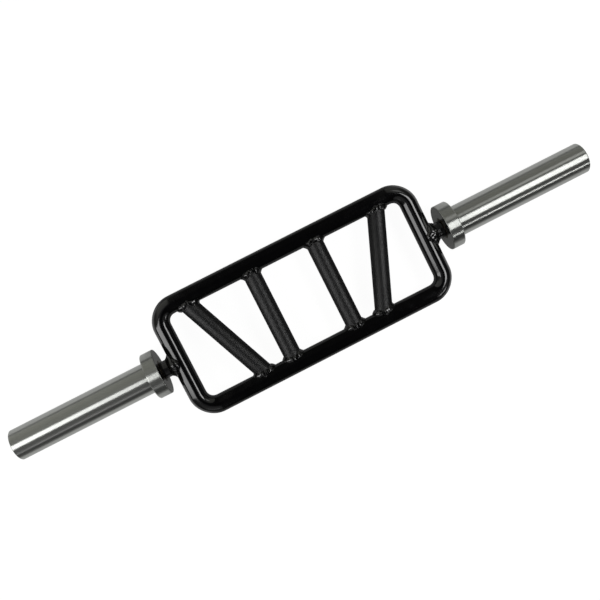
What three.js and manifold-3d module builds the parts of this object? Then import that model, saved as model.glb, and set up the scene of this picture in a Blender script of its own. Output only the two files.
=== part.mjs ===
// A short multi-grip barbell: a flat loop of bent round tube, four handles welded across it,
// and a plate sleeve at each end that turns freely on a journal welded to the loop.
//
// +X runs along the sleeves to the right, the loop lies flat in XY, and +Z points up out of it.
// The origin is the middle of the bar, on the axis of both sleeves. Lengths are millimetres.
//
// Everything on the right half is built once. The left half is the same group, turned half a
// turn about Y, because the bar is the same above and below the plane of its loop.

import * as THREE from 'three';
import { mergeVertices } from 'three/addons/utils/BufferGeometryUtils.js';
import Module from 'manifold-3d';

// Whole bar, over the end faces of the two sleeves.
const bar_length = 1000;

// The loop of bent tube. Its length and width are over the outside of the tube.
const loop_length = 462;
const loop_width = 202;
const loop_tube_diameter = 29;
const loop_tube_wall = 3;
const loop_bend_radius = 28;
const loop_butt_gap = 0.3;

// The handles. The inner pair is square to the rails and the outer pair leans, so that each
// outer handle is wider apart at the upper rail (+Y) than at the lower one.
const grip_diameter = 28.5;
const grip_wall = 3;
const inner_grip_spacing = 110;
const outer_grip_upper_inset = 18.5;
const outer_grip_lower_spacing = 46;

// How far the end of a handle or journal is notched over the tube that it stands on.
const grip_notch_depth = 4;
const journal_notch_depth = 4.5;

// Fillet welds, by the reach of the bead from the crease. A notch this shallow leaves a gap
// above and below, where the run of tube falls away: there the bead moves on over the run and
// sinks in, by shares of the gap. It is laid in overlapping ripples.
const grip_weld_reach = 5;
const journal_weld_reach = 7;
const weld_onward_share = 0.34;
const weld_sink_share = 0.32;
const weld_ripple_share = 0.1;
const weld_ripples = 9;

// The journal: a painted stub that shows, and a bright turned shaft inside the sleeve, as thick
// as the sleeve and its bushings leave room for. Its shoulder runs against the inner bushing.
const stub_diameter = 28;
const stub_length = 16.4;
const journal_chamfer = 1.5;
const journal_end_clearance = 4;
const shoulder_chamfer = 0.8;

// The collar that plates stop against. It is bored for the inner bushing and counterbored from
// outboard for the sleeve.
const collar_diameter = 75;
const collar_width = 21;
const collar_web = 7;
const collar_rim_chamfer = 1.2;
const collar_bore_chamfer = 1;

// The sleeve.
const sleeve_diameter = 50;
const sleeve_wall = 8;
const sleeve_rim_chamfer = 1.6;
const sleeve_seat_chamfer = 0.8;

// Plain bushings, one at each end of the sleeve's bore.
const bushing_length = 34;
const bushing_wall = 4;
const bushing_chamfer = 0.8;

// What holds the sleeve on its journal.
const washer_thickness = 2;
const journal_ring_thickness = 1.5;
const journal_ring_band = 3;
const journal_ring_setback = 3;
const journal_groove_depth = 1.1;

// The plate that closes the sleeve's outer end, and the ring that holds it. They lie in a pocket
// that is wider than the bore by a seat for the plate's edge.
const cap_seat_width = 3;
const cap_recess = 2.2;
const cap_thickness = 4;
const cap_rim_width = 3;
const cap_dish_depth = 0.8;
const cap_dimple_diameter = 5;
const cap_dimple_depth = 1.2;
const cap_ring_thickness = 1.75;
const cap_ring_band = 3.2;
const cap_groove_depth = 1.25;

// Lugs of both kinds of retaining ring. Those on the journal stop short of the washer's rim.
const journal_ring_lug_setback = 0.5;
const cap_ring_lug_reach = 2.6;
const ring_lug_hole_diameter = 1.6;
const ring_opening_angle = 0.62;
const ring_lug_angle = 0.34;

// Clearances: parts that turn on each other, parts seated in each other, and tubes and beads
// that are cut to the shape of the tube they stand on.
const running_gap = 0.3;
const seat_gap = 0.2;
const weld_gap = 0.3;

// How finely round forms are divided.
const turned_sides = 28;
const tube_sides = 24;
const tube_bore_sides = 8;
const bend_steps = 6;
const bead_steps = 27;
const bead_sides = 6;
const ring_steps = 18;
const lug_steps = 2;
const lug_hole_sides = 6;

// Places that follow from the sizes above.
const loop_tube_radius = loop_tube_diameter / 2;
const rail_place = loop_width / 2 - loop_tube_radius;
const side_place = loop_length / 2 - loop_tube_radius;
const inner_grip_place = inner_grip_spacing / 2;
const outer_grip_upper_place = side_place - loop_bend_radius - outer_grip_upper_inset;
const outer_grip_lower_place = inner_grip_place + outer_grip_lower_spacing;

const collar_inner_face = loop_length / 2 + stub_length;
const collar_outer_face = collar_inner_face + collar_width;
const collar_seat_floor = collar_inner_face + collar_web;
const sleeve_inner_end = collar_seat_floor + seat_gap;
const sleeve_outer_end = bar_length / 2;

const cap_ring_outer_face = sleeve_outer_end - cap_recess;
const cap_ring_inner_face = cap_ring_outer_face - cap_ring_thickness;
const cap_outer_face = cap_ring_inner_face - seat_gap;
const cap_inner_face = cap_outer_face - cap_thickness;
const cap_pocket_floor = cap_inner_face - seat_gap;

const journal_end = cap_pocket_floor - journal_end_clearance;
const journal_shoulder = collar_inner_face - running_gap;
const journal_ring_outer_face = journal_end - journal_ring_setback;
const journal_ring_inner_face = journal_ring_outer_face - journal_ring_thickness;
const washer_outer_face = journal_ring_inner_face - seat_gap;
const washer_inner_face = washer_outer_face - washer_thickness;
const outer_bushing_end = washer_inner_face - running_gap;

const sleeve_radius = sleeve_diameter / 2;
const sleeve_bore_radius = sleeve_radius - sleeve_wall;
const bushing_outer_radius = sleeve_bore_radius - seat_gap;
const bushing_bore_radius = bushing_outer_radius - bushing_wall;
const journal_radius = bushing_bore_radius - running_gap;
const journal_groove_radius = journal_radius - journal_groove_depth;
const washer_radius = sleeve_bore_radius - running_gap;
const cap_pocket_radius = sleeve_bore_radius + cap_seat_width;
const cap_groove_radius = cap_pocket_radius + cap_groove_depth;

const wasm = await Module();
wasm.setup();

const gloss_paint = new THREE.MeshStandardMaterial({ color: 0x0c0c0d, roughness: 0.22, metalness: 0 });
const grip_paint = new THREE.MeshStandardMaterial({ color: 0x232325, roughness: 0.6, metalness: 0 });
const turned_steel = new THREE.MeshStandardMaterial({ color: 0xb4b5b2, roughness: 0.25, metalness: 1 });
const shaft_steel = new THREE.MeshStandardMaterial({ color: 0x8f9294, roughness: 0.35, metalness: 1 });
const bronze = new THREE.MeshStandardMaterial({ color: 0xa67c45, roughness: 0.45, metalness: 1 });
const spring_steel = new THREE.MeshStandardMaterial({ color: 0x35373a, roughness: 0.5, metalness: 1 });

// A manifold-3d solid from a closed three.js geometry.
function solidOf(geometry) {
  const bare = geometry.clone();
  bare.deleteAttribute('normal');
  bare.deleteAttribute('uv');
  const merged = mergeVertices(bare);
  return new wasm.Manifold(new wasm.Mesh({
    numProp: 3,
    vertProperties: merged.getAttribute('position').array,
    triVerts: new Uint32Array(merged.getIndex().array),
  }));
}

// A flat-shaded three.js geometry from a manifold-3d solid.
function geometryOf(solid) {
  const mesh = solid.getMesh();
  const shared = new THREE.BufferGeometry();
  shared.setAttribute('position', new THREE.BufferAttribute(mesh.vertProperties, mesh.numProp));
  shared.setIndex(new THREE.BufferAttribute(mesh.triVerts, 1));
  const geometry = shared.toNonIndexed();
  geometry.computeVertexNormals();
  return geometry;
}

// A solid turned about the X axis. The profile's points are [place along X, radius], and run
// round the section so that the metal lies on their left. A flat of the polygon faces down,
// so that the bar doesn't stand on an edge.
function turned(profile) {
  const points = profile.map(([place, radius]) => new THREE.Vector2(radius, place));
  const half_side = Math.PI / turned_sides;
  const geometry = new THREE.LatheGeometry(points, turned_sides, half_side);
  return geometry.rotateZ(-Math.PI / 2);
}

// A turned ring with square or chamfered ends, between two places along X.
function turnedRing(start, end, bore_radius, outer_radius, chamfer) {
  const outer_edge = outer_radius - chamfer;
  const chamfered = [[start, outer_edge], [start + chamfer, outer_radius],
    [end - chamfer, outer_radius], [end, outer_edge]];
  const square = [[start, outer_radius], [end, outer_radius]];
  const outside = chamfer > 0 ? chamfered : square;
  return turned([[start, bore_radius], ...outside, [end, bore_radius], [start, bore_radius]]);
}

// The section of a round tube.
function tubeSection(outer_radius, bore_radius) {
  const section = new THREE.Shape(circlePoints(outer_radius, tube_sides));
  if (bore_radius > 0) section.holes.push(new THREE.Path(circlePoints(bore_radius, tube_bore_sides)));
  return section;
}

// Points on an arc about the origin, from one angle to another, both ends included.
function arcPoints(radius, start, end, steps) {
  return Array.from({ length: steps + 1 }, (_, i) => {
    const angle = start + (end - start) * i / steps;
    return new THREE.Vector2(radius * Math.cos(angle), radius * Math.sin(angle));
  });
}

function circlePoints(radius, sides) {
  return arcPoints(radius, 0, Math.PI * 2, sides).slice(0, -1);
}

// The centreline of the right half of the loop: along the upper rail, round a bend, down the
// short side, round the other bend and back along the lower rail. A straight run takes one
// step of a sweep and a bend takes several, so every step falls where the tube's shape changes.
class HalfLoop extends THREE.Curve {
  constructor() {
    super();
    const bend_place = side_place - loop_bend_radius;
    const bend_height = rail_place - loop_bend_radius;
    const butt = loop_butt_gap / 2;
    const line = (x0, y0, x1, y1) => new THREE.LineCurve(
      new THREE.Vector2(x0, y0), new THREE.Vector2(x1, y1));
    const bend = (y, start, end) => new THREE.EllipseCurve(
      bend_place, y, loop_bend_radius, loop_bend_radius, start, end, true);
    this.steps = [];
    this.addRun(line(butt, rail_place, bend_place, rail_place), 1);
    this.addRun(bend(bend_height, Math.PI / 2, 0), bend_steps);
    this.addRun(line(side_place, bend_height, side_place, -bend_height), 1);
    this.addRun(bend(-bend_height, 0, -Math.PI / 2), bend_steps);
    this.addRun(line(bend_place, -rail_place, butt, -rail_place), 1);
  }

  addRun(curve, count) {
    for (let i = 0; i < count; i += 1) this.steps.push({ curve, start: i / count, share: 1 / count });
  }

  // The run under a parameter that goes from 0 to 1 along the whole path, and the place on it.
  locate(u) {
    const at = u * this.steps.length;
    const index = Math.min(Math.floor(at), this.steps.length - 1);
    const step = this.steps[index];
    return { curve: step.curve, t: step.start + (at - index) * step.share };
  }

  getPointAt(u, target = new THREE.Vector3()) {
    const { curve, t } = this.locate(u);
    const point = curve.getPoint(t);
    return target.set(point.x, point.y, 0);
  }

  getTangentAt(u, target = new THREE.Vector3()) {
    const { curve, t } = this.locate(u);
    const tangent = curve.getTangent(t);
    return target.set(tangent.x, tangent.y, 0).normalize();
  }
}

// Half of the loop, swept with a round section.
function sweptHalfLoop(outer_radius, bore_radius) {
  const path = new HalfLoop();
  return new THREE.ExtrudeGeometry(tubeSection(outer_radius, bore_radius), {
    steps: path.steps.length,
    extrudePath: path,
    bevelEnabled: false,
  });
}

const loop_cutter = solidOf(sweptHalfLoop(loop_tube_radius + weld_gap, 0));

// A placement in the plane of the loop: a turn about Z and then a shift.
function placed(x, y, turn) {
  return new THREE.Matrix4().makeRotationZ(turn).setPosition(x, y, 0);
}

// What is left of a solid, placed on the bar, when it is cut to stand on the loop's tube.
function cutByLoop(solid, placement) {
  const inverse = placement.clone().invert();
  return solid.subtract(loop_cutter.transform(inverse.elements));
}

// A joint where a round post stands on a run of tube. The run lies along X and the post leaves
// it towards -Y, leaning by an angle from the square.
class Joint {
  constructor(post_radius, run_radius, lean) {
    this.post_radius = post_radius;
    this.run_radius = run_radius;
    this.lean = lean;
    this.along = new THREE.Vector3(-Math.sin(lean), -Math.cos(lean), 0);
    this.across = new THREE.Vector3(Math.cos(lean), -Math.sin(lean), 0);
  }

  // The direction out of the post's side at an angle round it.
  outward(angle) {
    return this.across.clone().multiplyScalar(Math.cos(angle)).setZ(Math.sin(angle));
  }

  // How far the run's surface has fallen away from the plane that touches it, beside the post.
  gap(angle) {
    const height = this.post_radius * Math.sin(angle);
    return this.run_radius - Math.sqrt(Math.max(0, this.run_radius ** 2 - height ** 2));
  }
}

// The middle of a weld bead, once round a post: in the crease at the post's sides, and sunk into
// the gap above and below.
class BeadLine extends THREE.Curve {
  constructor(joint) {
    super();
    this.joint = joint;
  }

  getPoint(t, target = new THREE.Vector3()) {
    const { joint } = this;
    const angle = t * Math.PI * 2;
    const side = joint.outward(angle).multiplyScalar(joint.post_radius);
    const reach = (-joint.run_radius - side.y) / joint.along.y;
    const gap = joint.gap(angle);
    return target.copy(side)
      .addScaledVector(joint.along, reach - gap * weld_onward_share)
      .addScaledVector(joint.outward(angle), -gap * weld_sink_share);
  }
}

// A fillet weld round the foot of a post: a torus whose ring is bent on to the bead's line and
// swells and shrinks along it.
function weldBead(joint, reach) {
  const line = new BeadLine(joint);
  const bead = new THREE.TorusGeometry(joint.post_radius, reach, bead_sides, bead_steps);
  const position = bead.getAttribute('position');
  const row = bead_steps + 1;
  for (let i = 0; i <= bead_steps; i += 1) {
    const t = (i % bead_steps) / bead_steps;
    const turn = t * Math.PI * 2;
    const centre = line.getPoint(t);
    const tangent = line.getTangent(t);
    const out = joint.outward(turn).projectOnPlane(tangent).normalize();
    const up = out.clone().cross(tangent);
    const size = reach * (1 + weld_ripple_share * Math.cos(turn * weld_ripples));
    for (let j = 0; j <= bead_sides; j += 1) {
      const angle = (j % bead_sides) / bead_sides * Math.PI * 2;
      const point = centre.clone()
        .addScaledVector(out, size * Math.cos(angle))
        .addScaledVector(up, size * Math.sin(angle));
      position.setXYZ(j * row + i, point.x, point.y, point.z);
    }
  }
  return solidOf(bead);
}

// The room that a post takes up in its weld: a round bar, longer than any bead reaches, that
// ends where the post does.
function postRoom(joint, notch_depth) {
  const radius = (joint.post_radius + weld_gap) / Math.cos(Math.PI / tube_sides);
  const post = new THREE.CylinderGeometry(radius, radius, loop_width, tube_sides).rotateZ(-joint.lean);
  const end = joint.run_radius - notch_depth - weld_gap;
  return solidOf(post).trimByPlane([0, -1, 0], end);
}

function makeWeld(joint, reach, notch_depth, placement) {
  const room = postRoom(joint, notch_depth);
  const fitted = cutByLoop(weldBead(joint, reach).subtract(room), placement);
  return { geometry: geometryOf(fitted), placement };
}

// A handle from the upper rail to the lower one: a tube notched at both ends over the rails,
// and the two welds that hold it.
function makeGrip(upper_place, lower_place) {
  const span = new THREE.Vector2(upper_place - lower_place, rail_place * 2);
  const lean = Math.atan2(span.x, span.y);
  const half_length = span.length() / 2;
  const outer_radius = grip_diameter / 2;
  const bore_radius = outer_radius - grip_wall;
  const profile = [[bore_radius, -half_length], [outer_radius, -half_length],
    [outer_radius, half_length], [bore_radius, half_length], [bore_radius, -half_length]];
  const blank = new THREE.LatheGeometry(profile.map(([r, y]) => new THREE.Vector2(r, y)), tube_sides);
  const middle = placed((upper_place + lower_place) / 2, 0, -lean);
  const end = rail_place - loop_tube_radius + grip_notch_depth;
  const square_to_rails = solidOf(blank)
    .transform(middle.elements)
    .trimByPlane([0, 1, 0], -end)
    .trimByPlane([0, -1, 0], -end)
    .transform(middle.clone().invert().elements);
  const joint = new Joint(outer_radius, loop_tube_radius, lean);
  const upper = placed(upper_place, rail_place, 0);
  const lower = placed(lower_place, -rail_place, Math.PI);
  return {
    tube: { geometry: geometryOf(cutByLoop(square_to_rails, middle)), placement: middle },
    upper_weld: makeWeld(joint, grip_weld_reach, grip_notch_depth, upper),
    lower_weld: makeWeld(joint, grip_weld_reach, grip_notch_depth, lower),
  };
}

// The journal, from its notched foot on the loop's short side to its chamfered end.
function makeJournal() {
  const stub_radius = stub_diameter / 2;
  const foot = loop_length / 2 - journal_notch_depth;
  const blank = turned([
    [foot, 0],
    [foot, stub_radius],
    [journal_shoulder - shoulder_chamfer, stub_radius],
    [journal_shoulder, stub_radius - shoulder_chamfer],
    [journal_shoulder, journal_radius],
    [journal_ring_inner_face - seat_gap, journal_radius],
    [journal_ring_inner_face - seat_gap, journal_groove_radius],
    [journal_ring_outer_face + seat_gap, journal_groove_radius],
    [journal_ring_outer_face + seat_gap, journal_radius],
    [journal_end - journal_chamfer, journal_radius],
    [journal_end, journal_radius - journal_chamfer],
    [journal_end, 0],
  ]);
  const joint = new Joint(stub_radius, loop_tube_radius, 0);
  const at_side = placed(side_place, 0, Math.PI / 2);
  return {
    shaft: geometryOf(cutByLoop(solidOf(blank), new THREE.Matrix4())),
    weld: makeWeld(joint, journal_weld_reach, journal_notch_depth, at_side),
  };
}

function makeCollar() {
  const radius = collar_diameter / 2;
  const seat_radius = sleeve_radius + seat_gap;
  return turned([
    [collar_inner_face, sleeve_bore_radius + collar_bore_chamfer],
    [collar_inner_face, radius - collar_rim_chamfer],
    [collar_inner_face + collar_rim_chamfer, radius],
    [collar_outer_face - collar_rim_chamfer, radius],
    [collar_outer_face, radius - collar_rim_chamfer],
    [collar_outer_face, seat_radius],
    [collar_seat_floor, seat_radius],
    [collar_seat_floor, sleeve_bore_radius],
    [collar_inner_face + collar_bore_chamfer, sleeve_bore_radius],
    [collar_inner_face, sleeve_bore_radius + collar_bore_chamfer],
  ]);
}

function makeSleeve() {
  return turned([
    [sleeve_inner_end, sleeve_bore_radius],
    [sleeve_inner_end, sleeve_radius - sleeve_seat_chamfer],
    [sleeve_inner_end + sleeve_seat_chamfer, sleeve_radius],
    [sleeve_outer_end - sleeve_rim_chamfer, sleeve_radius],
    [sleeve_outer_end, sleeve_radius - sleeve_rim_chamfer],
    [sleeve_outer_end, cap_pocket_radius],
    [cap_ring_outer_face + seat_gap, cap_pocket_radius],
    [cap_ring_outer_face + seat_gap, cap_groove_radius],
    [cap_ring_inner_face - seat_gap, cap_groove_radius],
    [cap_ring_inner_face - seat_gap, cap_pocket_radius],
    [cap_pocket_floor, cap_pocket_radius],
    [cap_pocket_floor, sleeve_bore_radius],
    [sleeve_inner_end, sleeve_bore_radius],
  ]);
}

function makeBushing(start) {
  const end = start + bushing_length;
  return turnedRing(start, end, bushing_bore_radius, bushing_outer_radius, bushing_chamfer);
}

// The end plate: a raised rim round a shallow dish, with a lathe centre in the middle.
function makeCap() {
  const radius = cap_pocket_radius - seat_gap;
  const dish_radius = radius - cap_ring_band - cap_rim_width;
  const dish_floor = cap_outer_face - cap_dish_depth;
  return turned([
    [cap_inner_face, 0],
    [cap_inner_face, radius],
    [cap_outer_face, radius],
    [cap_outer_face, dish_radius],
    [dish_floor, dish_radius - cap_dish_depth],
    [dish_floor, cap_dimple_diameter / 2],
    [dish_floor - cap_dimple_depth, 0],
  ]);
}

// A retaining ring with a lug at each side of its opening, lying across X. The band runs from
// its seat in a groove to its free edge, outward on a shaft and inward in a bore.
function makeRetainingRing(seat_radius, free_radius, lug_radius, inner_face, outer_face) {
  const start = ring_opening_angle / 2;
  const lug_end = start + ring_lug_angle;
  const full = Math.PI * 2;
  const outline = [
    ...arcPoints(seat_radius, start, full - start, ring_steps),
    ...arcPoints(lug_radius, full - start, full - lug_end, lug_steps),
    ...arcPoints(free_radius, full - lug_end, lug_end, ring_steps),
    ...arcPoints(lug_radius, lug_end, start, lug_steps),
  ];
  const shape = new THREE.Shape(outline);
  const hole_place = (seat_radius + lug_radius) / 2;
  for (const angle of [start + ring_lug_angle / 2, -start - ring_lug_angle / 2]) {
    const hole = circlePoints(ring_lug_hole_diameter / 2, lug_hole_sides);
    const centre = new THREE.Vector2(hole_place * Math.cos(angle), hole_place * Math.sin(angle));
    shape.holes.push(new THREE.Path(hole.map((point) => point.add(centre))));
  }
  const ring = new THREE.ExtrudeGeometry(shape, { depth: outer_face - inner_face, bevelEnabled: false });
  return ring.rotateY(Math.PI / 2).translate(inner_face, 0, 0);
}

function makeJournalRing() {
  const seat_radius = journal_groove_radius + seat_gap;
  const free_radius = journal_groove_radius + journal_ring_band;
  const lug_radius = washer_radius - journal_ring_lug_setback;
  const faces = [journal_ring_inner_face, journal_ring_outer_face];
  return makeRetainingRing(seat_radius, free_radius, lug_radius, ...faces);
}

function makeCapRing() {
  const seat_radius = cap_groove_radius - seat_gap;
  const free_radius = cap_groove_radius - cap_ring_band;
  const lug_radius = free_radius - cap_ring_lug_reach;
  const faces = [cap_ring_inner_face, cap_ring_outer_face];
  return makeRetainingRing(seat_radius, free_radius, lug_radius, ...faces);
}

// The solids of one half of the bar, each made once and shown on both sides.
const loop_half = sweptHalfLoop(loop_tube_radius, loop_tube_radius - loop_tube_wall);
const inner_grip = makeGrip(inner_grip_place, inner_grip_place);
const outer_grip = makeGrip(outer_grip_upper_place, outer_grip_lower_place);
const journal = makeJournal();
const washer_bore_radius = journal_radius + seat_gap;
const washer = turnedRing(washer_inner_face, washer_outer_face, washer_bore_radius, washer_radius, 0);

const half_pieces = [
  ['frame_tube', loop_half, gloss_paint],
  ['inner_grip', inner_grip.tube.geometry, grip_paint, inner_grip.tube.placement],
  ['inner_grip_upper_weld', inner_grip.upper_weld.geometry, gloss_paint, inner_grip.upper_weld.placement],
  ['inner_grip_lower_weld', inner_grip.lower_weld.geometry, gloss_paint, inner_grip.lower_weld.placement],
  ['outer_grip', outer_grip.tube.geometry, grip_paint, outer_grip.tube.placement],
  ['outer_grip_upper_weld', outer_grip.upper_weld.geometry, gloss_paint, outer_grip.upper_weld.placement],
  ['outer_grip_lower_weld', outer_grip.lower_weld.geometry, gloss_paint, outer_grip.lower_weld.placement],
  ['journal', journal.shaft, shaft_steel],
  ['journal_weld', journal.weld.geometry, gloss_paint, journal.weld.placement],
  ['thrust_washer', washer, shaft_steel],
  ['journal_ring', makeJournalRing(), spring_steel],
  ['collar', makeCollar(), turned_steel],
  ['sleeve', makeSleeve(), turned_steel],
  ['inner_bushing', makeBushing(collar_inner_face), bronze],
  ['outer_bushing', makeBushing(outer_bushing_end - bushing_length), bronze],
  ['end_cap', makeCap(), turned_steel],
  ['end_cap_ring', makeCapRing(), spring_steel],
];

function makeHalf(side) {
  const half = new THREE.Group();
  for (const [piece, geometry, material, placement = new THREE.Matrix4()] of half_pieces) {
    const mesh = new THREE.Mesh(geometry, material);
    mesh.name = `${side}_${piece}`;
    mesh.applyMatrix4(placement);
    half.add(mesh);
  }
  return half;
}

const bar = new THREE.Group();
const right_half = makeHalf('right');
const left_half = makeHalf('left');
left_half.rotation.y = Math.PI;
bar.add(right_half, left_half);

export default bar;
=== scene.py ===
"""Looks of a short multi-grip barbell: a welded loop of gloss black tube, four knurled handles
and two bright plate sleeves that turn on their journals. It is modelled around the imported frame,
in the frame's own axes: +X along the sleeves to the right and +Z up, out of the loop's plane."""

import math

import bmesh
import bpy
from mathutils import Matrix, Vector, noise


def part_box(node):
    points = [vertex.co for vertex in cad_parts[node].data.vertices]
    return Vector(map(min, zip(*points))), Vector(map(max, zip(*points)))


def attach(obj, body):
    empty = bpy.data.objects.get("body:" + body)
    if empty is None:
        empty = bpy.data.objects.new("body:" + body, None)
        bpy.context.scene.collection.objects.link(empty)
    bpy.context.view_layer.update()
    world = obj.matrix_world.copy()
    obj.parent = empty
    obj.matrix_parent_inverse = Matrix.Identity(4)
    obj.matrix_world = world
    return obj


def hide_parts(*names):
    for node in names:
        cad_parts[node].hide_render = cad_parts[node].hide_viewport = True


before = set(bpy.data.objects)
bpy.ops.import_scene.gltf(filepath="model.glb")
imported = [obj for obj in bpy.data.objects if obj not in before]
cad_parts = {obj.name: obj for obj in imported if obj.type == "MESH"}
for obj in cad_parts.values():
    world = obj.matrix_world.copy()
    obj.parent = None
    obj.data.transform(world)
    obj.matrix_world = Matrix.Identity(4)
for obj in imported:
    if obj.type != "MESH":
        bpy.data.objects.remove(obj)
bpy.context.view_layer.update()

bl_info = {
    "name": "Multi-Grip Barbell",
    "version": (1, 0, 0),
    "blender": (4, 5, 0),
    "location": "View3D > Sidebar > Barbell",
    "description": "Builds a welded multi-grip barbell with turning plate sleeves",
    "category": "Add Mesh",
}

MM = 0.001
SIDES = ("right", "left")
HALF_TURN = Matrix.Rotation(math.pi, 4, "Y")
WHITE = (1, 1, 1, 1)
SENSOR_WIDTH = 36

# The frame's round pieces have 28 sides and lie on a flat, so they measure a little less across
# the flats than the circle that they stand for.
FRAME_TURNED_SIDES = 28
FLAT_SHARE = math.cos(math.pi / FRAME_TURNED_SIDES)


def linear(hex_colour):
    """A colour written as sRGB hex, as the linear values that the shaders take."""
    channels = [int(hex_colour[i:i + 2], 16) / 255 for i in (1, 3, 5)]
    return [c / 12.92 if c <= 0.04045 else ((c + 0.055) / 1.055) ** 2.4 for c in channels]


def turned_radius(node):
    """The radius of the circle that a turned node of the frame stands for."""
    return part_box(node)[1].z / FLAT_SHARE


def length_property(name, description, millimetres):
    return bpy.props.FloatProperty(
        name=name, description=description, default=millimetres * MM, unit="LENGTH", precision=5)


def colour_property(name, description, hex_colour):
    return bpy.props.FloatVectorProperty(
        name=name, description=description, default=linear(hex_colour), subtype="COLOR",
        min=0, max=1)


def share_property(name, description, value):
    return bpy.props.FloatProperty(
        name=name, description=description, default=value, min=0, max=1, subtype="FACTOR")


class BARBELL_PG_sizes(bpy.types.PropertyGroup):
    """Sizes that the frame doesn't give."""

    inner_grip_place: length_property(
        "Inner grip place", "From the bar's middle to the axis of each square handle", 55)
    outer_grip_upper_place: length_property(
        "Outer grip, upper end", "From the bar's middle to a leaning handle's upper end", 170)
    outer_grip_lower_place: length_property(
        "Outer grip, lower end", "From the bar's middle to a leaning handle's lower end", 101)
    bend_radius: length_property(
        "Bend radius", "Of the loop's corners, at the middle of the tube", 28)
    bend_flattening: share_property(
        "Bend flattening", "How much thinner the tube is in the middle of a bend", 0.035)
    knurl_pitch: length_property("Knurl pitch", "From one groove of the knurling to the next", 1.6)
    knurl_depth: length_property("Knurl depth", "From the grooves to the diamonds' tops", 0.22)
    knurl_flat: share_property(
        "Knurl flat", "How much of a diamond's width is left flat on top", 0.5)
    grip_weld_reach: length_property("Handle weld", "Leg of the fillet weld round a handle", 4.8)
    journal_weld_reach: length_property("Journal weld", "Leg of the weld round a journal", 5.4)
    ripple_pitch: length_property("Weld ripple", "From one ripple of a weld to the next", 4.2)
    ripple_share: share_property("Ripple height", "Share of a weld's leg that ripples rise", 0.045)
    handle_lumps: share_property("Handle weld lumps", "Unevenness of a handle's weld", 0.17)
    edge_break: length_property("Edge break", "How far a turned edge is rounded over", 0.35)
    seat_gap: length_property("Seat gap", "Clearance between seated pieces", 0.2)


class BARBELL_PG_finishes(bpy.types.PropertyGroup):
    """Colours of the finishes."""

    paint: colour_property("Gloss paint", "Powder coat of the loop and the welds", "#070708")
    grip: colour_property("Grip paint", "Thin powder coat over the knurling", "#101011")
    sleeve: colour_property("Sleeve steel", "Ground and polished sleeve", "#B7B9B5")
    collar: colour_property("Collar steel", "Finely turned rim of the collar", "#B5B7B3")
    face: colour_property("Faced steel", "Flat faces of the collar and the end plate", "#8A8B87")
    shaft: colour_property("Shaft steel", "Ground shaft and washer", "#8C8F90")
    bronze: colour_property("Bronze", "Oil-soaked sintered bushing", "#50483C")
    spring: colour_property("Spring steel", "Oiled black retaining rings", "#3A3B3D")


class BARBELL_PG_stage(bpy.types.PropertyGroup):
    """Camera, lamps and room."""

    camera_place: bpy.props.FloatVectorProperty(
        name="Camera place", description="Where the camera stands",
        default=(-48.4 * MM, 89.0 * MM, 1140.7 * MM), subtype="TRANSLATION", unit="LENGTH")
    camera_aim: bpy.props.FloatVectorProperty(
        name="Camera aim", description="What the middle of the picture shows",
        default=(-5.6 * MM, 1.2 * MM, 0), subtype="TRANSLATION", unit="LENGTH")
    bar_slant: bpy.props.FloatProperty(
        name="Bar slant", description="How far the bar's right end is turned up in the picture",
        default=math.radians(27), subtype="ANGLE")
    focal_length: bpy.props.FloatProperty(
        name="Focal length", description=f"In mm, on a sensor {SENSOR_WIDTH} mm wide",
        default=43.57)
    right_radiance: bpy.props.FloatProperty(
        name="Right softbox", description="Brightness of the softbox on the right",
        default=5.8, min=0)
    left_radiance: bpy.props.FloatProperty(
        name="Left softbox", description="Brightness of the larger softbox on the left",
        default=3.6, min=0)
    floor: colour_property("Floor", "Pale table under the bar", "#E6E6E4")


def add_node(tree, kind, inputs=None, **settings):
    """Adds a node. An input is given a value, or a socket to link from."""
    node = tree.nodes.new(kind)
    for name, value in settings.items():
        setattr(node, name, value)
    for name, value in (inputs or {}).items():
        if isinstance(value, bpy.types.NodeSocket):
            tree.links.new(value, node.inputs[name])
        else:
            node.inputs[name].default_value = value
    return node


def cleared_tree(owner):
    """The node tree of a material, a lamp or the world, emptied."""
    owner.use_nodes = True
    owner.node_tree.nodes.clear()
    return owner.node_tree


def rgba(colour, gain=1.0):
    """A colour at a share of its strength, as the shaders' sockets take it."""
    return [min(1.0, c * gain) for c in colour[:3]] + [1.0]


def start_material(name):
    """A material with only a Principled BSDF on its output: its nodes, that shader, and the
    object coordinates."""
    tree = cleared_tree(bpy.data.materials.new(name))
    shader = add_node(tree, "ShaderNodeBsdfPrincipled")
    add_node(tree, "ShaderNodeOutputMaterial", {"Surface": shader.outputs["BSDF"]})
    return tree, shader, add_node(tree, "ShaderNodeTexCoord").outputs["Object"]


# A noise seldom leaves this range.
NOISE_LOW, NOISE_HIGH = 0.3, 0.7


def shaded_colour(tree, shader, factor, colour, low, high):
    """Drives the base colour between two strengths of one colour."""
    blend = add_node(
        tree, "ShaderNodeMix",
        {"Factor": factor, "A": rgba(colour, low), "B": rgba(colour, high)}, data_type="RGBA")
    tree.links.new(blend.outputs["Result"], shader.inputs["Base Color"])


def mottled_colour(tree, shader, place, colour, low, high, patch):
    """Shades the base colour in patches of a real size, and returns their pattern."""
    patches = add_node(
        tree, "ShaderNodeTexNoise", {"Vector": place, "Scale": 1 / patch, "Detail": 3})
    shaded_colour(tree, shader, patches.outputs["Fac"], colour, low, high)
    return patches.outputs["Fac"]


def uneven_polish(tree, shader, pattern, low, high):
    """Drives the roughness between two values with a pattern."""
    rough = add_node(
        tree, "ShaderNodeMapRange",
        {"Value": pattern, "From Min": NOISE_LOW, "From Max": NOISE_HIGH, "To Min": low,
         "To Max": high})
    tree.links.new(rough.outputs["Result"], shader.inputs["Roughness"])


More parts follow.
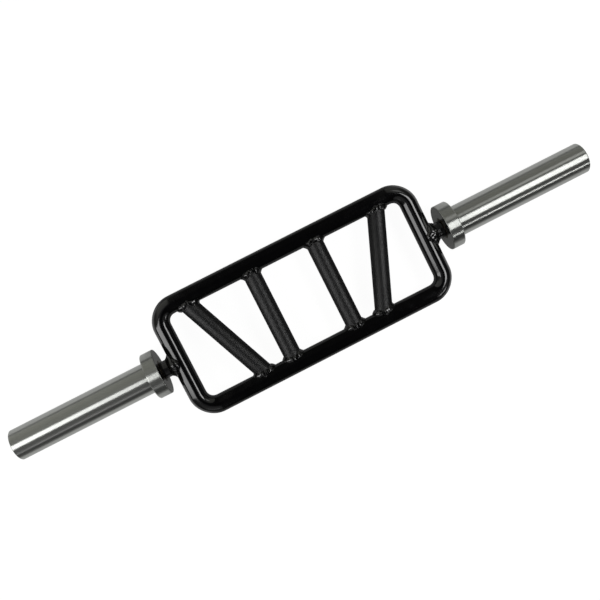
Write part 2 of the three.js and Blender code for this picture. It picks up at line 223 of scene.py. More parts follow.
def uneven_surface(tree, shader, pattern, strength, depth):
    """Bumps the surface by a pattern of a real depth, and returns the bumped normal."""
    bump = add_node(
        tree, "ShaderNodeBump", {"Height": pattern, "Strength": strength, "Distance": depth})
    tree.links.new(bump.outputs["Normal"], shader.inputs["Normal"])
    return bump.outputs["Normal"]


def gloss_powder_coat(name, colour, peel_depth, roughness, clear_layer):
    """Gloss black polyester powder coat, baked on bare tube. It flows out smooth, but keeps a
    fine orange peel of 2 to 3 mm that makes reflections of lamps a little uneven."""
    colour_patch, haze_patch, peel_width = 9 * MM, 14 * MM, 2.4 * MM
    tree, shader, place = start_material(name)
    mottled_colour(tree, shader, place, colour, 0.8, 1.3, colour_patch)
    haze = add_node(
        tree, "ShaderNodeTexNoise", {"Vector": place, "Scale": 1 / haze_patch, "Detail": 4})
    uneven_polish(tree, shader, haze.outputs["Fac"], roughness * 0.75, roughness * 1.35)
    peel = add_node(
        tree, "ShaderNodeTexNoise", {"Vector": place, "Scale": 1 / peel_width, "Detail": 1})
    normal = uneven_surface(tree, shader, peel.outputs["Fac"], 1.0, peel_depth)
    tree.links.new(normal, shader.inputs["Coat Normal"])
    shader.inputs["IOR"].default_value = 1.5
    shader.inputs["Coat Weight"].default_value = clear_layer
    shader.inputs["Coat Roughness"].default_value = 0.04


def knurled_powder_coat(name, colour):
    """Thin powder coat over coarse knurling. It fills the grooves, rubs grey on the diamonds and
    scatters light in every direction, so the handle shows soft grey bands and a fine grain."""
    rubbed_patch, grain_width, grain_depth = 3.2 * MM, 0.5 * MM, 0.12 * MM
    tree, shader, place = start_material(name)
    patches = mottled_colour(tree, shader, place, colour, 0.6, 1.6, rubbed_patch)
    uneven_polish(tree, shader, patches, 0.3, 0.45)
    grain = add_node(
        tree, "ShaderNodeTexNoise", {"Vector": place, "Scale": 1 / grain_width, "Detail": 2})
    uneven_surface(tree, shader, grain.outputs["Fac"], 0.6, grain_depth)
    shader.inputs["IOR"].default_value = 1.46


def draw_out_reflections(tree, shader, amount):
    """Marks that run round the axis draw a metal's reflections out across themselves."""
    round_axis = add_node(tree, "ShaderNodeTangent", direction_type="RADIAL", axis="X")
    tree.links.new(round_axis.outputs["Tangent"], shader.inputs["Tangent"])
    quarter_turn = 0.25
    shader.inputs["Anisotropic"].default_value = amount
    shader.inputs["Anisotropic Rotation"].default_value = quarter_turn
    shader.inputs["Metallic"].default_value = 1.0


def ground_steel(name, colour, roughness, mark_pitch):
    """Steel ground between centres and polished. The marks run round the piece, so reflections
    stay crisp across it and are drawn out along it. The real marks are far too fine to show, so
    they are drawn some millimetres wide, as faint rings of duller and brighter polish."""
    colour_patch, mark_length = 30 * MM, 60 * MM
    tree, shader, place = start_material(name)
    mottled_colour(tree, shader, place, colour, 0.95, 1.04, colour_patch)
    rings = add_node(
        tree, "ShaderNodeMapping",
        {"Vector": place, "Scale": (1 / mark_pitch, 1 / mark_length, 1 / mark_length)})
    marks = add_node(
        tree, "ShaderNodeTexNoise",
        {"Vector": rings.outputs["Vector"], "Scale": 1.0, "Detail": 1})
    uneven_polish(tree, shader, marks.outputs["Fac"], roughness * 0.95, roughness * 1.06)
    draw_out_reflections(tree, shader, 0.97)


def faced_steel(name, colour, roughness, mark_pitch, mark_depth, drawn_out):
    """Steel faced on a lathe: rings about the axis that catch the light by turns. They are real
    marks in the roughness and the surface, and a painted sheen in the colour, brighter and darker
    by turns. The real feed is about a fifth of a millimetre, too fine to show, so they are drawn
    about one apart."""
    tree, shader, place = start_material(name)
    flat = add_node(
        tree, "ShaderNodeVectorMath", {0: place, 1: (0.0, 1.0, 1.0)}, operation="MULTIPLY")
    radius = add_node(
        tree, "ShaderNodeVectorMath", {0: flat.outputs["Vector"]}, operation="LENGTH")
    marks = add_node(
        tree, "ShaderNodeTexNoise",
        {"W": radius.outputs["Value"], "Scale": 1 / mark_pitch, "Detail": 2},
        noise_dimensions="1D").outputs["Fac"]
    # Painted sheen: the colour turns brighter and darker ring by ring, for the light that the rings
    # catch.
    painted_ring_sheen = add_node(
        tree, "ShaderNodeMapRange", {"Value": marks, "From Min": NOISE_LOW, "From Max": NOISE_HIGH})
    shaded_colour(tree, shader, painted_ring_sheen.outputs["Result"], colour, 0.75, 1.3)
    uneven_polish(tree, shader, marks, roughness * 1.15, roughness * 0.85)
    uneven_surface(tree, shader, marks, 1.0, mark_depth)
    draw_out_reflections(tree, shader, drawn_out)


def sintered_bronze(name, colour):
    """Oil-filled sintered bronze: a dull yellow brown with pores of about half a millimetre."""
    colour_patch, pore_width, pore_depth = 3 * MM, 0.5 * MM, 0.05 * MM
    tree, shader, place = start_material(name)
    mottled_colour(tree, shader, place, colour, 0.75, 1.15, colour_patch)
    pores = add_node(tree, "ShaderNodeTexVoronoi", {"Vector": place, "Scale": 1 / pore_width})
    uneven_polish(tree, shader, pores.outputs["Distance"], 0.5, 0.32)
    uneven_surface(tree, shader, pores.outputs["Distance"], 0.5, pore_depth)
    shader.inputs["Metallic"].default_value = 1.0


def oiled_spring_steel(name, colour):
    """Stamped spring steel: black from hardening, with a thin film of oil that lies unevenly and
    leaves it between satin and dull."""
    oil_patch = 2 * MM
    tree, shader, place = start_material(name)
    patches = mottled_colour(tree, shader, place, colour, 0.7, 1.3, oil_patch)
    uneven_polish(tree, shader, patches, 0.3, 0.5)
    shader.inputs["Metallic"].default_value = 1.0


# Each slot's finish: how it is made, the name of its colour, and its measures.
FINISHES = {
    "gloss_paint": (gloss_powder_coat, "paint", {
        "peel_depth": 0.03 * MM, "roughness": 0.12, "clear_layer": 0.5}),
    "weld_paint": (gloss_powder_coat, "paint", {
        "peel_depth": 0.015 * MM, "roughness": 0.1, "clear_layer": 0.8}),
    "journal_paint": (gloss_powder_coat, "paint", {
        "peel_depth": 0.02 * MM, "roughness": 0.12, "clear_layer": 0.3}),
    "grip_paint": (knurled_powder_coat, "grip", {}),
    "sleeve_steel": (ground_steel, "sleeve", {"roughness": 0.3, "mark_pitch": 3.5 * MM}),
    "collar_steel": (ground_steel, "collar", {"roughness": 0.31, "mark_pitch": 2.8 * MM}),
    "washer_steel": (ground_steel, "shaft", {"roughness": 0.28, "mark_pitch": 1.5 * MM}),
    "collar_face": (faced_steel, "face", {
        "roughness": 0.18, "mark_pitch": 1.3 * MM, "mark_depth": 0.008 * MM, "drawn_out": 0.5}),
    "collar_edge": (faced_steel, "collar", {
        "roughness": 0.42, "mark_pitch": 0.8 * MM, "mark_depth": 0.005 * MM, "drawn_out": 0.0}),
    "cap_steel": (faced_steel, "face", {
        "roughness": 0.3, "mark_pitch": 1.1 * MM, "mark_depth": 0.015 * MM, "drawn_out": 0.8}),
    "ring_steel": (oiled_spring_steel, "spring", {}),
    "bushing_bronze": (sintered_bronze, "bronze", {}),
}


def finish(slot):
    """The material of a slot, made when it is first asked for."""
    name = f"{slot}_finish"
    if name not in bpy.data.materials:
        make, colour, measures = FINISHES[slot]
        make(name, getattr(bpy.context.scene.barbell_finishes, colour), **measures)
    return bpy.data.materials[name]


# Faces that meet at more than these show a hard edge, on plain pieces and on the knurling.
SMOOTH_LIMIT = math.radians(32)
KNURL_SHARP_LIMIT = math.radians(75)
# Turned edges sharper than this are broken.
BREAK_LIMIT = math.radians(25)
TURNED_STEPS = 112
ROUNDING_STEPS = 4
MERGE_DISTANCE = 1e-7
SLEEVE_BODY = "SIDE_sleeve_assembly"


def mesh_of(bm, name):
    """Turns a finished bmesh into a mesh, and frees it."""
    mesh = bpy.data.meshes.new(name)
    bm.to_mesh(mesh)
    bm.free()
    return mesh


def add_object(name, data):
    """Puts an object with this mesh, lamp or camera into the scene."""
    added = bpy.data.objects.new(name, data)
    bpy.context.scene.collection.objects.link(added)
    return added


def place_piece(bm, side, part, body, slots, node, sharper_than=SMOOTH_LIMIT):
    """Turns a finished bmesh of the right half into one side's piece, and ties it to the frame."""
    if side == "left":
        bmesh.ops.transform(bm, matrix=HALF_TURN, verts=bm.verts)
    name = f"{side}_{part}"
    mesh = mesh_of(bm, name)
    mesh.shade_smooth()
    mesh.set_sharp_from_angle(angle=sharper_than)
    for slot in slots:
        mesh.materials.append(finish(slot))
    piece = add_object(name, mesh)
    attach(piece, body.replace("SIDE", side))
    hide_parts(f"{side}_{node}")


# How far in from a corner a face is held flat, and the shortest run that is long enough for it.
HOLDING_WIDTH = 1.1 * MM
LONG_RUN = 3 * HOLDING_WIDTH


def held(start, end):
    """The points of a profile's straight run, with one near each end of a long one. They keep
    the shading of a rounded edge from spreading over the whole face beside it."""
    start, end = Vector(start), Vector(end)
    length = (end - start).length
    if length < LONG_RUN:
        return [start]
    inset = (end - start) * HOLDING_WIDTH / length
    near = [start + inset] if start.y > HOLDING_WIDTH else []
    far = [end - inset] if end.y > HOLDING_WIDTH else []
    return [start, *near, *far]


def quarter_round(start, radius, reach):
    """The points of a rounded edge, from a face at one place along X up to a rim's radius."""
    turns = [step / ROUNDING_STEPS * math.pi / 2 for step in range(ROUNDING_STEPS + 1)]
    return [
        (start + reach * (1 - math.cos(turn)), radius - reach * (1 - math.sin(turn)))
        for turn in turns
    ]


def ring_section(start, end, inner, outer):
    """The points of a plain ring's section, as [place along X, radius]."""
    return [(start, inner), (start, outer), (end, outer), (end, inner)]


def add_corners(bm, points):
    """The corners of a section, from its points of [place along X, radius]."""
    return [bm.verts.new((place, 0, radius)) for place, radius in points]


def turned(profile, closed):
    """A shape turned about X from points of [place along X, radius]. A closed profile makes a
    ring, and an open one starts and ends on the axis."""
    bm = bmesh.new()
    corners = profile + profile[:1] if closed else profile
    points = [point for run in zip(corners, corners[1:]) for point in held(*run)]
    if not closed:
        points.append(Vector(profile[-1]))
    verts = add_corners(bm, points)
    for start, end in zip(verts, verts[1:] + (verts[:1] if closed else [])):
        bm.edges.new((start, end))
    bmesh.ops.spin(
        bm, geom=bm.verts[:] + bm.edges[:], cent=(0, 0, 0), axis=(1, 0, 0),
        angle=math.tau, steps=TURNED_STEPS, use_merge=True)
    bmesh.ops.remove_doubles(bm, verts=bm.verts, dist=MERGE_DISTANCE)
    bmesh.ops.recalc_face_normals(bm, faces=bm.faces)
    return bm


def break_edges(bm, width):
    """Rounds the sharp edges of a shape over, as a file or a tumbler does."""
    sharp = [
        edge for edge in bm.edges
        if len(edge.link_faces) == 2 and edge.calc_face_angle() > BREAK_LIMIT
    ]
    bmesh.ops.bevel(
        bm, geom=sharp, offset=width, offset_type="OFFSET", affect="EDGES", segments=2,
        profile=0.5, material=-1, clamp_overlap=True)


def place_turned(
        profile, closed, part, slots, node, body=SLEEVE_BODY, edge_share=1.0, finish_of=None):
    """Turns one profile for both sides and breaks its edges by a share of the usual width. On a
    piece with several finishes, a function gives the number of each face's."""
    for side in SIDES:
        bm = turned(profile, closed)
        break_edges(bm, bpy.context.scene.barbell_sizes.edge_break * edge_share)
        if finish_of:
            bm.normal_update()
            for face in bm.faces:
                face.material_index = finish_of(face)
        place_piece(bm, side, part, body, slots, node)


class Loop:
    """Places and sizes of the loop's tube, on the right half."""

    def __init__(self):
        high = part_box("right_frame_tube")[1]
        sizes = bpy.context.scene.barbell_sizes
        self.tube_radius = high.z
        self.rail_place = high.y - self.tube_radius
        self.side_place = high.x - self.tube_radius
        self.bend_radius = sizes.bend_radius
        self.bend_start = self.side_place - self.bend_radius
        self.bend_height = self.rail_place - self.bend_radius


TUBE_SIDES = 64
BEND_STEPS = 28
# In a bend, the tube grows taller by one part for so many parts that it thins.
THINNING_PER_RISE = 3


def extend(bm, edges, reach):
    """Draws a ring of edges on in a straight line, and returns its new end."""
    drawn = bmesh.ops.extrude_edge_only(bm, edges=edges)["geom"]
    verts = {item for item in drawn if isinstance(item, bmesh.types.BMVert)}
    bmesh.ops.translate(bm, verts=list(verts), vec=reach)
    return [
        item for item in drawn
        if isinstance(item, bmesh.types.BMEdge) and verts.issuperset(item.verts)
    ]


def bend(bm, edges, centre, angle):
    """Draws a ring of edges round a bend, and returns its new end."""
    verts = list({vert for edge in edges for vert in edge.verts})
    last = bmesh.ops.spin(
        bm, geom=verts + edges, cent=centre, axis=(0, 0, 1), angle=angle, steps=BEND_STEPS)
    return [item for item in last["geom_last"] if isinstance(item, bmesh.types.BMEdge)]


def flatten_bends(bm, loop, share):
    """Thins the tube in the plane of each bend, most in its middle, as bending it does."""
    for vert in bm.verts:
        height = abs(vert.co.y)
        x, y = vert.co.x - loop.bend_start, height - loop.bend_height
        if x <= 0 or y <= 0:
            continue
        turn = math.atan2(y, x)
        thinning = share * math.sin(2 * turn) ** 2
        reach = math.hypot(x, y)
        thin_reach = loop.bend_radius + (reach - loop.bend_radius) * (1 - thinning)
        vert.co.x = loop.bend_start + thin_reach * math.cos(turn)
        vert.co.y = math.copysign(loop.bend_height + thin_reach * math.sin(turn), vert.co.y)
        vert.co.z *= 1 + thinning / THINNING_PER_RISE


class BARBELL_OT_loop(bpy.types.Operator):
    """Makes the two halves of the bent tube loop"""

    bl_idname = "barbell.loop"
    bl_label = "Bent Tube Loop"

    def execute(self, context):
        loop = Loop()
        quarter = math.pi / 2
        for side in SIDES:
            bm = bmesh.new()
            start = Matrix.Translation((0, loop.rail_place, 0)) @ Matrix.Rotation(quarter, 4, "Y")
            bmesh.ops.create_circle(bm, segments=TUBE_SIDES, radius=loop.tube_radius, matrix=start)
            run = extend(bm, bm.edges[:], (loop.bend_start, 0, 0))
            run = bend(bm, run, (loop.bend_start, loop.bend_height, 0), -quarter)
            run = extend(bm, run, (0, -2 * loop.bend_height, 0))
            run = bend(bm, run, (loop.bend_start, -loop.bend_height, 0), -quarter)
            extend(bm, run, (-loop.bend_start, 0, 0))
            ends = [edge for edge in bm.edges if edge.is_boundary]
            bmesh.ops.edgeloop_fill(bm, edges=ends)
            flatten_bends(bm, loop, context.scene.barbell_sizes.bend_flattening)
            bmesh.ops.recalc_face_normals(bm, faces=bm.faces)
            place_piece(bm, side, "bent_tube", "frame", ["gloss_paint"], "frame_tube")
        return {"FINISHED"}


def knurled_bar(length, radius, sizes):
    """A bar along Y whose whole side is knurled. A grid is rolled up with its squares' corners
    in the grooves and on the diamonds by turns, so every groove runs round at 45 degrees."""
    diamond = sizes.knurl_pitch * math.sqrt(2)
    around = 2 * round(math.tau * radius / diamond)
    along = 2 * round(length / diamond)
    point_rise = sizes.knurl_depth * sizes.knurl_flat / (1 - sizes.knurl_flat)
    bm = bmesh.new()
    bmesh.ops.create_grid(bm, x_segments=around, y_segments=along, size=1)
    grooves, points = [], []
    for vert in bm.verts:
        column = round((vert.co.x + 1) / 2 * around)
        row = round((vert.co.y + 1) / 2 * along)
        on_point = (column + row) % 2
        (points if on_point else grooves).append(vert)
        depth = -point_rise if on_point else sizes.knurl_depth
        turn = column / around * math.tau
        vert.co = Vector((
            (radius - depth) * math.cos(turn), (row / along - 0.5) * length,
            (radius - depth) * math.sin(turn)))
    bmesh.ops.connect_verts(bm, verts=grooves)
    bmesh.ops.remove_doubles(bm, verts=bm.verts, dist=MERGE_DISTANCE)
    inner_points = [vert for vert in points if vert.is_valid and not vert.is_boundary]
    bmesh.ops.bevel(
        bm, geom=inner_points, offset=diamond / 2 * sizes.knurl_flat, offset_type="OFFSET",
        affect="VERTICES", segments=1, profile=0.5, material=-1)
    ends = [edge for edge in bm.edges if edge.is_boundary]
    bmesh.ops.edgeloop_fill(bm, edges=ends)
    bmesh.ops.recalc_face_normals(bm, faces=bm.faces)
    return bm


def grip_lines(loop):
    """The foot on the upper rail and on the lower one, of each handle on the right half."""
    sizes = bpy.context.scene.barbell_sizes
    places = {
        "inner_grip": (sizes.inner_grip_place, sizes.inner_grip_place),
        "outer_grip": (sizes.outer_grip_upper_place, sizes.outer_grip_lower_place),
    }
    return {
        name: (Vector((upper, loop.rail_place, 0)), Vector((lower, -loop.rail_place, 0)))
        for name, (upper, lower) in places.items()
    }


def lean_of(upper, lower):
    """How far a handle leans from the square, towards +X at its upper end."""
    return math.atan2(upper.x - lower.x, upper.y - lower.y)


def grip_radius():
    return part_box("right_inner_grip")[1].z


class BARBELL_OT_grips(bpy.types.Operator):
    """Makes the four knurled handles"""

    bl_idname = "barbell.grips"
    bl_label = "Knurled Handles"

    def execute(self, context):
        loop = Loop()
        sizes = context.scene.barbell_sizes
        for name, (upper, lower) in grip_lines(loop).items():
            middle = (upper + lower) / 2
            length = (upper - lower).length - loop.tube_radius
            lean = Matrix.Rotation(-lean_of(upper, lower), 4, "Z")
            for side in SIDES:
                bm = knurled_bar(length, grip_radius(), sizes)
                bmesh.ops.transform(bm, matrix=Matrix.Translation(middle) @ lean, verts=bm.verts)
                place_piece(
                    bm, side, f"knurled_{name}", "frame", ["grip_paint"], name,
                    sharper_than=KNURL_SHARP_LIMIT)
        return {"FINISHED"}


BEAD_SIDES = 24
BEAD_STEPS_PER_RIPPLE = 8
# Above and below the post, the bead moves on over the run and sinks in by these shares of the gap.
HANDLE_BEAD_SHIFT = (0.34, 0.32)
JOURNAL_BEAD_SHIFT = (0.5, 0.45)
# How hollow the bead's face is where the tubes meet square.
BEAD_HOLLOW_SHARE = 0.34
# How far a ripple bows across the bead, as a share of one ripple, and how high ripples stand on
# average, as a share of their tops.
BEAD_CHEVRON = 0.7
RIPPLE_MEAN = 0.64
# The size of a bead's lumps, and how much they differ across it.
HANDLE_LUMP_SIZE, JOURNAL_LUMP_SIZE = 6 * MM, 9 * MM
LUMP_TWIST = 0.6


class Bead:
    """A fillet weld round a post that stands on a run of tube. The run lies along X and the
    post leaves it towards -Y, leaning from the square."""

    def __init__(
            self, post_radius, run_radius, lean, reach, top_share, lumps, lump_size, shift):
        self.post_radius = post_radius
        self.run_radius = run_radius
        self.reach = reach
        self.top_share = top_share
        self.lumps = lumps
        self.lump_size = lump_size
        self.onward_share, self.sink_share = shift
        self.along = Vector((-math.sin(lean), -math.cos(lean), 0))
        self.across = Vector((math.cos(lean), -math.sin(lean), 0))

    def outward(self, turn):
        return self.across * math.cos(turn) + Vector((0, 0, math.sin(turn)))

    def run_normal(self, turn):
        """The way that the run's surface faces beside the post."""
        height = self.post_radius * math.sin(turn)
        return Vector((0, -math.sqrt(self.run_radius ** 2 - height ** 2), height)).normalized()

    def centre(self, turn):
        """The bead's middle: in the crease at the post's sides, moved on over the run and sunk
        in above and below, where the run's surface falls away from the post."""
        side = self.outward(turn) * self.post_radius
        gap = self.run_radius - math.sqrt(self.run_radius ** 2 - side.z ** 2)
        reach = (-self.run_radius - side.y) / self.along.y
        onward = self.along * (reach - gap * self.onward_share)
        return side + onward - self.outward(turn) * gap * self.sink_share

    def section(self, turn):
        """Two directions across the bead: away from the post, and across that and the crease."""
        bit = 0.01
        tangent = (self.centre(turn + bit) - self.centre(turn - bit)).normalized()
        out = self.outward(turn)
        out = (out - tangent * out.dot(tangent)).normalized()
        return out, tangent.cross(out)

    def size(self, turn, angle, out, up):
        """The bead's reach. Where the tubes meet square it has a hollow face, and over their
        tops, where they nearly run into each other, it is round."""
        normal = self.run_normal(turn)
        squareness = 1 - self.outward(turn).dot(normal)
        corner = self.outward(turn) + normal
        corner_angle = math.atan2(corner.dot(up), corner.dot(out))
        hollow = BEAD_HOLLOW_SHARE * max(0, math.cos(2 * (angle - corner_angle)))
        full = squareness + self.top_share * (1 - squareness)
        return self.reach * full * (1 - hollow * squareness)

    def swell(self, turn, angle, ripples, ripple_share, seed):
        """Crescent ripples with round tops, and a slow rise and fall of the whole bead."""
        phase = turn * ripples / math.tau + BEAD_CHEVRON * math.cos(angle)
        ripple = abs(math.sin(math.pi * phase)) - RIPPLE_MEAN
        around = self.outward(turn) * self.post_radius / self.lump_size
        lump = noise.noise(around + Vector((seed, angle * LUMP_TWIST, 0)))
        return 1 + ripple_share * ripple + self.lumps * lump

    def build(self, pitch, ripple_share, seed):
        """The bead's shape: a plain ring that is moved into the crease and swelled by ripples."""
        ripples = round(math.tau * self.post_radius / pitch)
        bm = bmesh.new()
        start = Matrix.Translation((self.post_radius, 0, 0))
        bmesh.ops.create_circle(bm, segments=BEAD_SIDES, radius=self.reach, matrix=start)
        bmesh.ops.spin(
            bm, geom=bm.verts[:] + bm.edges[:], cent=(0, 0, 0), axis=(0, 1, 0), angle=math.tau,
            steps=ripples * BEAD_STEPS_PER_RIPPLE, use_merge=True)
        bmesh.ops.remove_doubles(bm, verts=bm.verts, dist=MERGE_DISTANCE)
        for vert in bm.verts:
            turn = math.atan2(vert.co.z, vert.co.x)
            angle = math.atan2(vert.co.y, math.hypot(vert.co.x, vert.co.z) - self.post_radius)
            out, up = self.section(turn)
            reach = self.size(turn, angle, out, up)
            reach *= self.swell(turn, angle, ripples, ripple_share, seed)
            vert.co = self.centre(turn) + (out * math.cos(angle) + up * math.sin(angle)) * reach
        bmesh.ops.recalc_face_normals(bm, faces=bm.faces)
        return bm


# A handle's bead over the tubes' tops, as a share of its leg, and where in the noise its lumps lie:
# the step from one foot to the next, and each side's own place.
HANDLE_TOP_SHARE = 1.05
SEED_STEP = 7.3
SIDE_SEEDS = {"right": 5, "left": 4}
# Each journal's weld is given one by one: its lumps, its height over the tubes' tops as a share of
# its leg, and where in the noise its lumps lie.
JOURNAL_WELDS = {"right": (0.5, 2.1, 88.1), "left": (0.2, 2.0, 12.4)}


class BARBELL_OT_welds(bpy.types.Operator):
    """Makes the fillet welds of the handles and the journals"""

    bl_idname = "barbell.welds"
    bl_label = "Weld Beads"

    def execute(self, context):
        loop = Loop()
        sizes = context.scene.barbell_sizes
        feet = []
        turned_over = Matrix.Rotation(math.pi, 4, "Z")
        for name, (upper, lower) in grip_lines(loop).items():
            bead = Bead(
                grip_radius(), loop.tube_radius, lean_of(upper, lower), sizes.grip_weld_reach,
                HANDLE_TOP_SHARE, sizes.handle_lumps, HANDLE_LUMP_SIZE, HANDLE_BEAD_SHIFT)
            feet.append((f"{name}_upper_weld", bead, Matrix.Translation(upper)))
            feet.append((f"{name}_lower_weld", bead, Matrix.Translation(lower) @ turned_over))
        for order, (node, bead, placement) in enumerate(feet):
            for side in SIDES:
                self.lay(bead, order * SEED_STEP + SIDE_SEEDS[side], placement, side, node)
        at_side = Matrix.Translation((loop.side_place, 0, 0)) @ Matrix.Rotation(math.pi / 2, 4, "Z")
        for side in SIDES:
            lumps, top_share, seed = JOURNAL_WELDS[side]
            bead = Bead(
                stub_radius(), loop.tube_radius, 0, sizes.journal_weld_reach, top_share, lumps,
                JOURNAL_LUMP_SIZE, JOURNAL_BEAD_SHIFT)
            self.lay(bead, seed, at_side, side, "journal_weld")
        return {"FINISHED"}

    def lay(self, bead, seed, placement, side, node):
        """Lays one bead in its crease."""
        sizes = bpy.context.scene.barbell_sizes
        bm = bead.build(sizes.ripple_pitch, sizes.ripple_share, seed)
        bmesh.ops.transform(bm, matrix=placement, verts=bm.verts)
        place_piece(bm, side, f"{node}_bead", "frame", ["weld_paint"], node)


def stub_radius():
    return turned_radius("right_journal")


def bore_radius():
    """The bore of the sleeve and the collar, round the bushings."""
    gap = bpy.context.scene.barbell_sizes.seat_gap
    return turned_radius("right_outer_bushing") + gap


class BARBELL_OT_journals(bpy.types.Operator):
    """Makes the journals: a painted stub and the bright shaft inside each sleeve"""

    bl_idname = "barbell.journals"
    bl_label = "Journals"

    shoulder: length_property("Shoulder", "From the stub's end to the collar's face", 0.3)
    shaft_radius: length_property("Shaft radius", "Radius of the ground shaft", 12.5)
    shaft_chamfer: length_property("Shaft chamfer", "At the shaft's outer end", 1.5)
    groove_depth: length_property("Groove depth", "For the retaining ring", 1.1)

    def execute(self, context):
        low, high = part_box("right_journal")
        ring_low, ring_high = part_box("right_journal_ring")
        collar_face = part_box("right_collar")[0].x
        gap = context.scene.barbell_sizes.seat_gap
        shoulder = collar_face - self.shoulder
        groove = self.shaft_radius - self.groove_depth
        profile = [
            (low.x, 0), (low.x, stub_radius()), (shoulder, stub_radius()),
            (shoulder, self.shaft_radius), (ring_low.x - gap, self.shaft_radius),
            (ring_low.x - gap, groove), (ring_high.x + gap, groove),
            (ring_high.x + gap, self.shaft_radius),
            (high.x - self.shaft_chamfer, self.shaft_radius),
            (high.x, self.shaft_radius - self.shaft_chamfer), (high.x, 0),
        ]
        place_turned(
            profile, False, "journal_shaft", ["journal_paint", "washer_steel"], "journal",
            body="frame", finish_of=lambda face: int(face.calc_center_median().x > shoulder))
        return {"FINISHED"}


class BARBELL_OT_collars(bpy.types.Operator):
    """Makes the collars that plates stop against"""

    bl_idname = "barbell.collars"
    bl_label = "Collars"

    rim_chamfer: length_property(
        "Rim chamfer", "On the rim's outboard edge, and the rounding of its inboard edge", 1.2)
    bore_chamfer: length_property("Bore chamfer", "Round the bushing", 1.0)

    def execute(self, context):
        low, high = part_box("right_collar")
        sizes = context.scene.barbell_sizes
        radius, rim, bore = turned_radius("right_collar"), self.rim_chamfer, bore_radius()
        seat = turned_radius("right_sleeve") + sizes.seat_gap
        seat_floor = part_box("right_sleeve")[0].x - sizes.seat_gap
        profile = [
            (low.x, bore + self.bore_chamfer), *quarter_round(low.x, radius, rim),
            (high.x - rim, radius), (high.x, radius - rim), (high.x, seat), (seat_floor, seat),
            (seat_floor, bore), (low.x + self.bore_chamfer, bore),
        ]
        place_turned(
            profile, True, "turned_collar", ["collar_steel", "collar_face", "collar_edge"],
            "collar", finish_of=self.finish_of)
        return {"FINISHED"}

    @staticmethod
    def finish_of(face):
        """The rim's finish, or that of the flat faces or of the inboard rounded edge."""
        flat, rounded_edge = 0.98, 0.15
        if abs(face.normal.x) > flat:
            return 1
        return 2 if face.normal.x < -rounded_edge else 0


class BARBELL_OT_sleeves(bpy.types.Operator):
    """Makes the plate sleeves"""

    bl_idname = "barbell.sleeves"
    bl_label = "Plate Sleeves"

    rim_chamfer: length_property("Rim chamfer", "At the outer end", 1.6)
    pocket_step: length_property("Pocket step", "Seat for the end plate's edge", 3.0)
    groove_depth: length_property("Groove depth", "For the end plate's ring", 1.25)

    def execute(self, context):
        low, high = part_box("right_sleeve")
        ring_low, ring_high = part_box("right_end_cap_ring")
        gap = context.scene.barbell_sizes.seat_gap
        radius, bore = turned_radius("right_sleeve"), bore_radius()
        pocket = bore + self.pocket_step
        groove = pocket + self.groove_depth
        pocket_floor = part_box("right_end_cap")[0].x - gap
        profile = [
            (low.x, bore), (low.x, radius), (high.x - self.rim_chamfer, radius),
            (high.x, radius - self.rim_chamfer), (high.x, pocket), (ring_high.x + gap, pocket),
            (ring_high.x + gap, groove), (ring_low.x - gap, groove), (ring_low.x - gap, pocket),
            (pocket_floor, pocket), (pocket_floor, bore),
        ]
        place_turned(profile, True, "polished_sleeve", ["sleeve_steel"], "sleeve")
        return {"FINISHED"}


class BARBELL_OT_bushings(bpy.types.Operator):
    """Makes the bronze bushings at both ends of each bore"""

    bl_idname = "barbell.bushings"
    bl_label = "Bushings"

    bore: length_property("Bushing bore", "Radius of the hole for the shaft", 12.8)

    def execute(self, context):
        for node in ("inner_bushing", "outer_bushing"):
            low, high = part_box(f"right_{node}")
            profile = ring_section(low.x, high.x, self.bore, turned_radius(f"right_{node}"))
            place_turned(
                profile, True, f"sintered_{node}", ["bushing_bronze"], node, edge_share=2)
        return {"FINISHED"}


class BARBELL_OT_end_caps(bpy.types.Operator):
    """Makes the plates that close the sleeves' outer ends"""

    bl_idname = "barbell.end_caps"
    bl_label = "End Plates"

    rim_width: length_property("Rim width", "Raised rim round the dish", 6.2)
    dish_depth: length_property("Dish depth", "Of the shallow dish", 0.8)
    centre_radius: length_property("Lathe centre", "Radius of the centre hole's mouth", 2.5)
    centre_depth: length_property("Lathe centre depth", "Of the centre hole", 1.2)

    def execute(self, context):
        low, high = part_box("right_end_cap")
        radius = turned_radius("right_end_cap")
        dish_radius = radius - self.rim_width
        dish_floor = high.x - self.dish_depth
        profile = [
            (low.x, 0), (low.x, radius), (high.x, radius), (high.x, dish_radius),
            (dish_floor, dish_radius - self.dish_depth), (dish_floor, self.centre_radius),
            (dish_floor - self.centre_depth, 0),
        ]
        place_turned(
            profile, False, "dished_end_plate", ["cap_steel"], "end_cap", edge_share=0.5)
        return {"FINISHED"}


